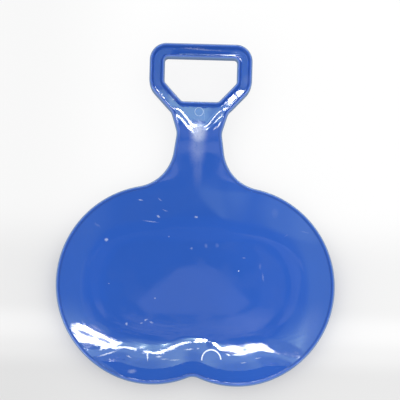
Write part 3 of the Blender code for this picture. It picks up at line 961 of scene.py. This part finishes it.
# Bright cards: plane, colour, strength, and the corners in mm across and up from the plane's middle
CARDS = {
    "key_window_main": (KEY_WINDOW, NEUTRAL, 40.0, [
        (-60, -5), (-60, 60), (8, 200), (46, 320), (60, 360), (120, 300), (170, 250), (230, 190),
        (180, 150), (60, 110), (20, 0)]),
    "key_window_side": (KEY_WINDOW, NEUTRAL, 30.0, [
        (-380, 95), (-100, 75), (-100, -5), (-380, -35)]),
    "key_window_haze": (KEY_WINDOW, GREENISH, 5.5, [
        (-100, 190), (-100, 300), (-20, 300), (-20, 190)]),
    "key_window_strut_haze": (KEY_WINDOW, GREENISH, 1.8, [
        (-120, 90), (-135, 190), (-135, 300), (-100, 300), (-100, 190), (0, 190), (-60, 60)]),
    "key_window_dim_haze": (KEY_WINDOW, GREENISH, 2.8, [
        (-20, 190), (-20, 300), (46, 320), (8, 200)]),
    "far_window": (FAR_WINDOW, NEUTRAL, 40.0, [
        (1700, -800), (1350, -400), (1000, -50), (550, 380), (230, 590), (-60, 610),
        (-480, 230), (-520, -250), (-480, -620), (-250, -400), (200, -350), (420, -680),
        (750, -820), (820, -1250), (1200, -1100)]),
    "overhead_hill": (OVERHEAD, NEUTRAL, 0.68, [
        (-139, 32), (-89, -9), (-40, -50), (20, -60), (68, -40), (104, 3), (131, 27), (92, 59),
        (-113, 59)]),
    "overhead_east": (OVERHEAD, NEUTRAL, 0.20, [
        (153, 120), (153, -240), (400, -240), (400, 120)]),
    "overhead_rear": (OVERHEAD, NEUTRAL, 0.95, [
        (-230, 56), (-160, 65), (-60, 73), (50, 70), (110, 54), (190, 36), (230, 50), (230, 112),
        (-230, 112)]),
    "overhead_rear_east": (OVERHEAD, NEUTRAL, 0.9, [
        (60, 92), (115, 70), (190, 45), (215, 70), (200, 112), (60, 112)]),
    "left_of_handle": (ABOVE_HANDLE, GREENISH, 1.0, [
        (-110, -60), (-110, -230), (-48, -230), (-48, -60)]),
    "right_of_handle": (ABOVE_HANDLE, GREENISH, 1.0, [
        (48, -60), (48, -230), (110, -230), (110, -60)]),
}


def hang_card(scene, name, plane, tint, strength, corners):
    """Glowing see-through card that only reflections see, facing the slider."""
    azimuth, zenith, distance = radians(plane[0]), radians(plane[1]), plane[2] * MM
    towards = Vector((sin(zenith) * sin(azimuth), sin(zenith) * cos(azimuth), cos(zenith)))
    across = Vector((cos(azimuth), -sin(azimuth), 0.0))
    up = across.cross(towards)
    mesh = bmesh.new()
    mesh.faces.new([mesh.verts.new(towards * distance + across * u * MM + up * v * MM)
                    for u, v in corners])
    material, nodes = node_material(name)
    glow = nodes.add('ShaderNodeEmission', {'Color': (*tint, 1.0), 'Strength': strength})
    clear = nodes.add('ShaderNodeBsdfTransparent')
    both = nodes.add('ShaderNodeAddShader', {0: glow.outputs[0], 1: clear.outputs[0]})
    nodes.add('ShaderNodeOutputMaterial', {'Surface': both.outputs[0]})
    card = finished_object(scene, name, mesh, material)
    card.visible_camera = False
    card.visible_diffuse = False
    card.visible_shadow = False


class SLIDER_OT_studio(bpy.types.Operator):
    """Lay the floor and set the light and the camera"""
    bl_idname = "slider.studio"
    bl_label = "Set Up Studio"

    def execute(self, context):
        scene = context.scene
        lay_floor(scene)
        soft_world(scene)
        for name, card in CARDS.items():
            hang_card(scene, name, *card)
        place_camera(scene, scene.slider_studio)
        scene.view_settings.view_transform = 'Standard'
        return {'FINISHED'}


class SLIDER_PT_sidebar(bpy.types.Panel):
    """Sizes, colours and the buttons that build the slider and its studio"""
    bl_idname = "SLIDER_PT_sidebar"
    bl_label = "Snow Slider"
    bl_space_type = 'VIEW_3D'
    bl_region_type = 'UI'
    bl_category = "Slider"

    def draw(self, context):
        layout = self.layout
        for operator in OPERATORS:
            layout.operator(operator.bl_idname)
        for name, group in GROUPS.items():
            box = layout.box()
            box.label(text=group.__doc__)
            for prop in group.__annotations__:
                box.prop(getattr(context.scene, name), prop)


GROUPS = {
    "slider_outline": SliderOutline,
    "slider_section": SliderSection,
    "slider_plastic": SliderPlastic,
    "slider_studio": SliderStudio,
}
OPERATORS = (SLIDER_OT_moulding, SLIDER_OT_studio)


def register():
    """Make the settings, the operators and the panel known to Blender."""
    for name, group in GROUPS.items():
        bpy.utils.register_class(group)
        setattr(bpy.types.Scene, name, PointerProperty(type=group))
    for cls in (*OPERATORS, SLIDER_PT_sidebar):
        bpy.utils.register_class(cls)


def unregister():
    """Take them away again, last ones first."""
    for cls in (SLIDER_PT_sidebar, *reversed(OPERATORS)):
        bpy.utils.unregister_class(cls)
    for name, group in reversed(GROUPS.items()):
        delattr(bpy.types.Scene, name)
        bpy.utils.unregister_class(group)


def main():
    """Build the slider and its studio."""
    register()
    bpy.ops.slider.moulding()
    bpy.ops.slider.studio()


if __name__ == "__main__":
    main()
